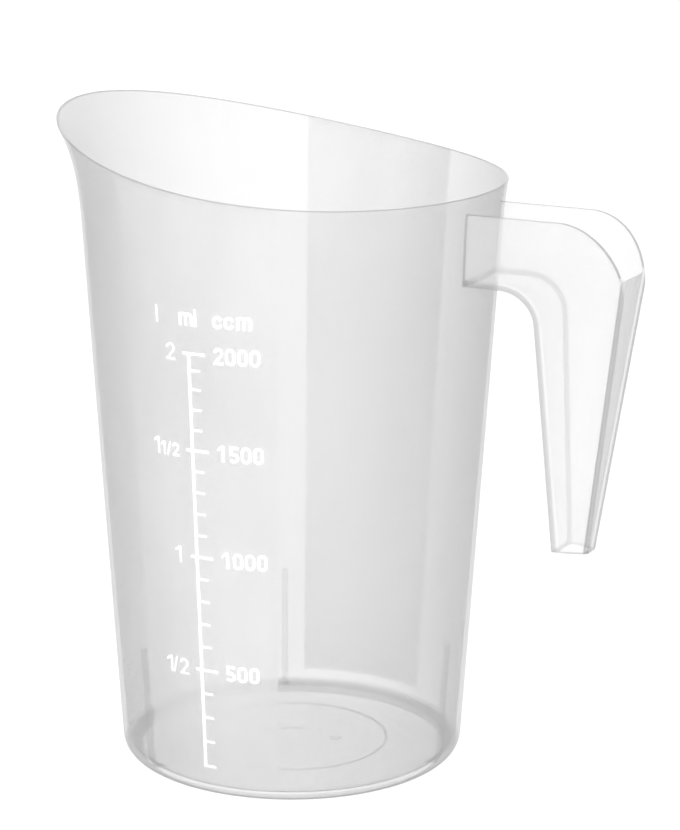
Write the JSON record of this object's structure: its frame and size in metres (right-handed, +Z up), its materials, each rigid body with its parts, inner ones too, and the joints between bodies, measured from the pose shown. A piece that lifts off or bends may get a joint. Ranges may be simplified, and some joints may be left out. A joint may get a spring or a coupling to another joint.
{
  "type": "measuring jug",
  "caption": "Tall tapered translucent measuring jug with a raked flared mouth, an open channel handle and a printed volume scale on a fine-grained side panel.",
  "frame": {"origin": "centre of the underside of the base, on the table", "axes": "+Z up, +X from the jug's axis towards the handle, spout at -X, printed scale on the -Y side"},
  "size_m": [0.2083, 0.1496, 0.2285],
  "materials": {
    "clear_polypropylene": "natural translucent moulded polypropylene, polished mould surface",
    "grained_polypropylene": "natural translucent moulded polypropylene, fine spark-eroded grain outside",
    "white_ink": "white screen-printed ink"
  },
  "bodies": {
    "root": {"base": "clear_polypropylene", "spout_wall": "clear_polypropylene", "handle_side_wall": "clear_polypropylene", "handle_arm": "clear_polypropylene", "handle_grip": "clear_polypropylene", "rib_handle_side": "clear_polypropylene", "rib_plain_side": "clear_polypropylene", "rib_scale_side": "clear_polypropylene", "floor_ring": "clear_polypropylene", "gate_mark": "clear_polypropylene", "cavity_mark": "clear_polypropylene", "scale_panel": "grained_polypropylene", "plain_panel": "grained_polypropylene", "scale_line": "white_ink", "major_marks": "white_ink", "minor_marks": "white_ink", "numeral_2000": "white_ink", "numeral_1500": "white_ink", "numeral_1000": "white_ink", "numeral_500": "white_ink", "litre_two": "white_ink", "litre_one_and_half": "white_ink", "litre_one": "white_ink", "litre_half": "white_ink", "unit_l": "white_ink", "unit_ml": "white_ink", "unit_ccm": "white_ink"}
  },
  "joints": []
}
